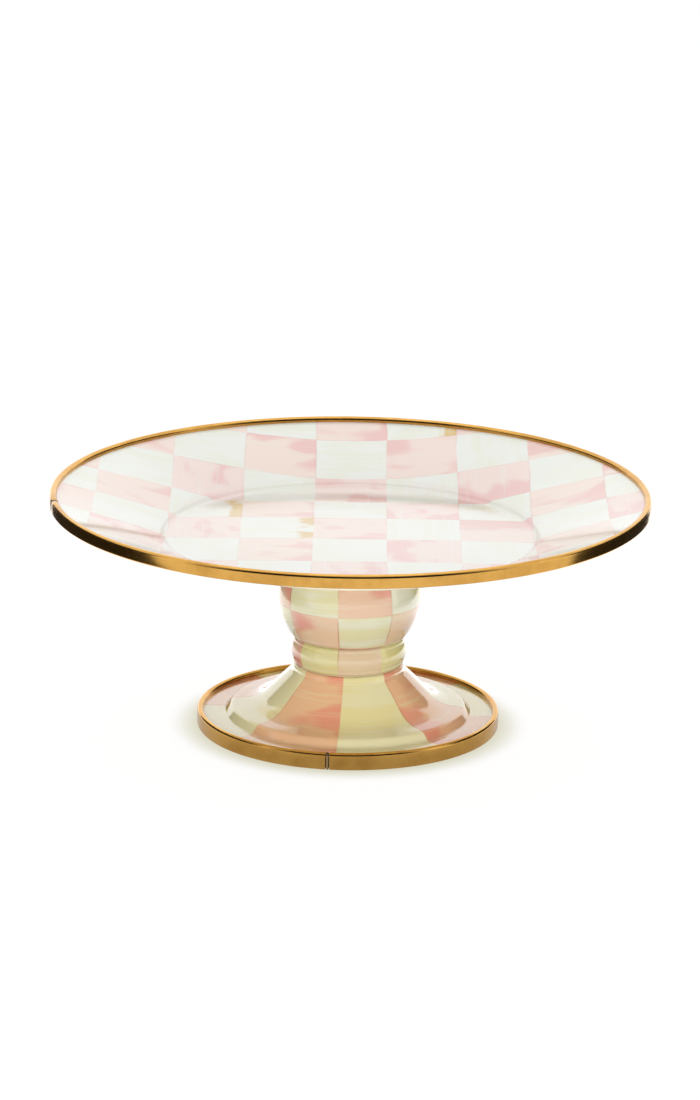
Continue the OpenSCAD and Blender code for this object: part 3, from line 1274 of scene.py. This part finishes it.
# lengths on the stage are in metres
studio = {
    "walls": 1.22,
    "ceiling": 0.97,
    "room": 0.012,
    "wallTop": (0.5, 0.72),      # upward part of the direction where wall turns to ceiling
    "roomTop": (0.72, 0.95),
    "roomSide": (0.25, 0.75),
    "overhead": {"size": (1.6, 1.2), "place": (0, 0.3, 1.7), "aim": (0, 0, 0.1), "power": 2.6},
    "fill": {"size": (1.4, 0.5), "place": (0, -2.0, 0.35), "aim": (0, 0, 0.06), "power": 32},
    "table": (0.86, 0.86, 0.84, 1),
    "tableGlow": 1.06,
    "glowShare": 0.86,
    "mirrored": (-0.15, 0.12, 1.0, 1.9),     # from the front of the table to its back
    "footShade": (0.082, 0.17, 0.42, 1.0),   # dimmer in reflections near the foot
    # painted shadow round the foot, seen by the camera: its colour and the radii (m) over which it fades out
    "contact": srgb(218, 216, 194),
    "contactReach": (0.074, 0.094),
    "card": (0.012, 0.01, 0.009, 1),
    # inner edge, outer edge, front, back and height
    "leftCard": (-0.27, -0.48, -0.2, 0.6, 0.4),
    "rightCard": (0.28, 0.48, -0.09, 0.6, 0.4),
}


def makeFloor():
    deselectAll()
    bpy.ops.mesh.primitive_circle_add(vertices=64, radius=9, fill_type="NGON", location=(0, 0, -0.0002))
    floor = bpy.context.object
    floor.name = "floor"
    material, tree, shader = newMaterial("paleFloor", Roughness=0.9)
    shader["Base Color"].default_value = studio["table"]
    nodes = tree.nodes
    parts = split(objectPlace(tree))
    path = nodes.new("ShaderNodeLightPath")
    # a lit table: white to the camera, and in reflections brighter behind than in front
    glow = nodes.new("ShaderNodeEmission")
    radius = axisRadius(parts)
    mirrored = times(between(parts[1], *studio["mirrored"]), between(radius, *studio["footShade"]))
    camera = path.outputs["Is Camera Ray"]
    strength = plus(times(camera, studio["tableGlow"]), times(minus(1, camera), mirrored))
    feed(glow.inputs["Strength"], strength)
    # painted shadow: the table darkens softly, and a little green, right round the foot
    reach = between(radius, *studio["contactReach"])
    contact = blend(reach, studio["contact"], (1, 1, 1, 1))
    feed(glow.inputs["Color"], blend(camera, (1, 1, 1, 1), contact))
    lit = nodes.new("ShaderNodeMixShader")
    seen = plus(times(camera, studio["glowShare"]), path.outputs["Is Glossy Ray"])
    feed(lit.inputs[0], seen)
    feed(lit.inputs[1], nodes["Principled BSDF"].outputs[0])
    feed(lit.inputs[2], glow.outputs[0])
    # clear from beneath, so the underside can be looked at
    clear = nodes.new("ShaderNodeMixShader")
    feed(clear.inputs[0], nodes.new("ShaderNodeNewGeometry").outputs["Backfacing"])
    feed(clear.inputs[1], lit.outputs[0])
    feed(clear.inputs[2], nodes.new("ShaderNodeBsdfTransparent").outputs[0])
    feed(nodes["Material Output"].inputs[0], clear.outputs[0])
    floor.data.materials.append(material)


def makeWorld():
    world = bpy.data.worlds.new("tent")
    bpy.context.scene.world = world
    world.use_nodes = True
    tree = world.node_tree
    background = tree.nodes["Background"]
    direction = split(tree.nodes.new("ShaderNodeTexCoord").outputs["Generated"])
    flat = calc("MAXIMUM", axisRadius(direction), 0.001)
    facing = calc("DIVIDE", times(direction[1], -1), flat)
    # over-lit walls behind and beside the stand, a dimmer ceiling, and a dark room in front
    wall = between(direction[2], *studio["wallTop"], studio["walls"], studio["ceiling"])
    above = between(direction[2], *studio["roomTop"])
    room = times(between(facing, *studio["roomSide"]), minus(1, above))
    strength = plus(times(wall, minus(1, room)), times(room, studio["room"]))
    feed(background.inputs["Strength"], strength)
    background.inputs["Color"].default_value = (1, 1, 1, 1)


def addLight(name, size, place, aim, power):
    light = bpy.data.lights.new(name, "AREA")
    light.shape = "RECTANGLE"
    light.size, light.size_y = size
    light.energy = power
    lamp = bpy.data.objects.new(name, light)
    bpy.context.scene.collection.objects.link(lamp)
    lamp.location = place
    lamp.rotation_euler = (Vector(aim) - Vector(place)).to_track_quat("-Z", "Y").to_euler()
    lamp.visible_camera = False
    return lamp


def makeFlag(name, inner, outer, front, back, height):
    # a folded dark card beside the stand, lying and then standing, seen only in shiny surfaces
    deselectAll()
    bpy.ops.mesh.primitive_plane_add(size=0.01, location=(inner, front, 0.001))
    card = bpy.context.object
    card.name = name
    bpy.ops.object.transform_apply()
    editAll(card)
    bpy.ops.mesh.merge(type="CENTER")
    bpy.ops.mesh.extrude_vertices_move(TRANSFORM_OT_translate={"value": (outer - inner, 0, 0)})
    bpy.ops.mesh.extrude_vertices_move(TRANSFORM_OT_translate={"value": (0, 0, height)})
    bpy.ops.mesh.select_all(action="SELECT")
    bpy.ops.mesh.extrude_edges_move(TRANSFORM_OT_translate={"value": (0, back - front, 0)})
    leaveEdit()
    material, tree, shader = newMaterial(name, Roughness=1.0)
    shader["Base Color"].default_value = studio["card"]
    card.data.materials.append(material)
    card.visible_camera = False
    card.visible_diffuse = False
    card.visible_shadow = False


cameraSetup = {
    "distance": 2.3,
    "pitch": 16.9,
    "aim": (0, 0, 0.060),
    "raise": 0.769,      # degrees the lens is tipped up, which sets the stand low in the frame
    "roll": 0.79,
    "lens": 147.4,
}


def makeCamera():
    pitch = radians(cameraSetup["pitch"])
    look = Vector((0, cos(pitch), -sin(pitch)))
    data = bpy.data.cameras.new("camera")
    data.lens = cameraSetup["lens"]
    data.sensor_width = data.sensor_height = 36
    data.clip_start, data.clip_end = 0.01, 50
    camera = bpy.data.objects.new("camera", data)
    bpy.context.scene.collection.objects.link(camera)
    tip = pitch - radians(cameraSetup["raise"])
    place = Vector(cameraSetup["aim"]) - look * cameraSetup["distance"]
    tilt = Matrix.Rotation(pi / 2 - tip, 4, "X")
    roll = Matrix.Rotation(radians(cameraSetup["roll"]), 4, "Z")
    camera.matrix_world = Matrix.Translation(place) @ tilt @ roll
    bpy.context.scene.camera = camera


makeFloor()
makeWorld()
addLight("overhead", **studio["overhead"])
fill = addLight("fill", **studio["fill"])
fill.visible_glossy = False
makeFlag("leftCard", *studio["leftCard"])
makeFlag("rightCard", *studio["rightCard"])
makeCamera()
scene = bpy.context.scene
scene.view_settings.view_transform = "Standard"
scene.view_settings.look = "None"
print("stage ready")
